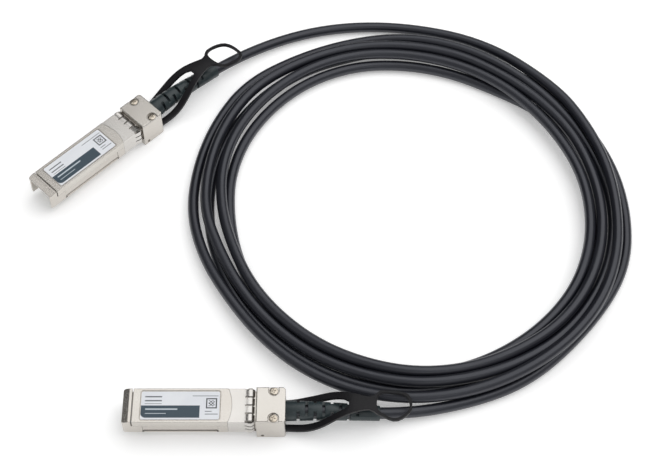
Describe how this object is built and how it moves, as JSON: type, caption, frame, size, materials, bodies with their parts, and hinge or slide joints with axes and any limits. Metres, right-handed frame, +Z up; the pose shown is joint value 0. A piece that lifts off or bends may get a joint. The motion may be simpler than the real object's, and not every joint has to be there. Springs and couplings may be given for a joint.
{
  "type": "direct attach copper cable",
  "caption": "Coiled black copper patch cable with a metal small form-factor plug on each end, spring collars, slotted boots and sliding pull-tab latches.",
  "frame": {"origin": "middle of the flat underside of plug B's end block, on the table plane", "axes": "+X from plug B's nose towards its cord, +Z up from the table, +Y towards the coil and plug A"},
  "size_m": [0.235, 0.1948, 0.0135],
  "materials": {
    "die_cast_shell": "nickel plated zinc, satin",
    "die_cast_cover": "nickel plated zinc, satin",
    "spring_steel": "bright stamped spring steel",
    "board": "green solder mask",
    "gold_pads": "gold flash over nickel",
    "chip": "moulded epoxy",
    "wire_insulation": "translucent white",
    "ferrule": "copper, dull",
    "latch_steel": "stamped, satin",
    "spring_wire": "drawn wire",
    "tab_plastic": "soft matte moulding",
    "screw": "plated",
    "label_paper": "satin film with a slate band",
    "boot": "soft satin moulding",
    "jacket": "smooth satin jacket"
  },
  "bodies": {
    "cable_assembly": {"base_shell_a": "die_cast_shell", "top_cover_a": "die_cast_cover", "emi_collar_a": "spring_steel", "circuit_board_a": "board", "contact_pads_a": "gold_pads", "control_chip_a": "chip", "signal_wires_a": "wire_insulation", "crimp_ferrule_a": "ferrule", "return_spring_a": "spring_wire", "screw_near_a": "screw", "screw_far_a": "screw", "label_a": "label_paper", "strain_relief_a": "boot", "cable_lead_a": "jacket", "base_shell_b": "die_cast_shell", "top_cover_b": "die_cast_cover", "emi_collar_b": "spring_steel", "circuit_board_b": "board", "contact_pads_b": "gold_pads", "control_chip_b": "chip", "signal_wires_b": "wire_insulation", "crimp_ferrule_b": "ferrule", "return_spring_b": "spring_wire", "screw_near_b": "screw", "screw_far_b": "screw", "label_b": "label_paper", "strain_relief_b": "boot", "cable_lead_b": "jacket", "cable_coil": "jacket"},
    "latch_a": {"latch_slider_a": "latch_steel", "pull_tab_a": "tab_plastic"},
    "latch_b": {"latch_slider_b": "latch_steel", "pull_tab_b": "tab_plastic"}
  },
  "joints": [
    {"name": "latch_pull_a", "type": "slide", "parent": "cable_assembly", "child": "latch_a", "axis": [0.7046, 0.7096, 0], "range_m": [0, 0.0028], "stiffness_N_per_m": 800, "deforming": ["return_spring_a"]},
    {"name": "latch_pull_b", "type": "slide", "parent": "cable_assembly", "child": "latch_b", "axis": [1, 0, 0], "range_m": [0, 0.0028], "stiffness_N_per_m": 800, "deforming": ["return_spring_b"]}
  ]
}
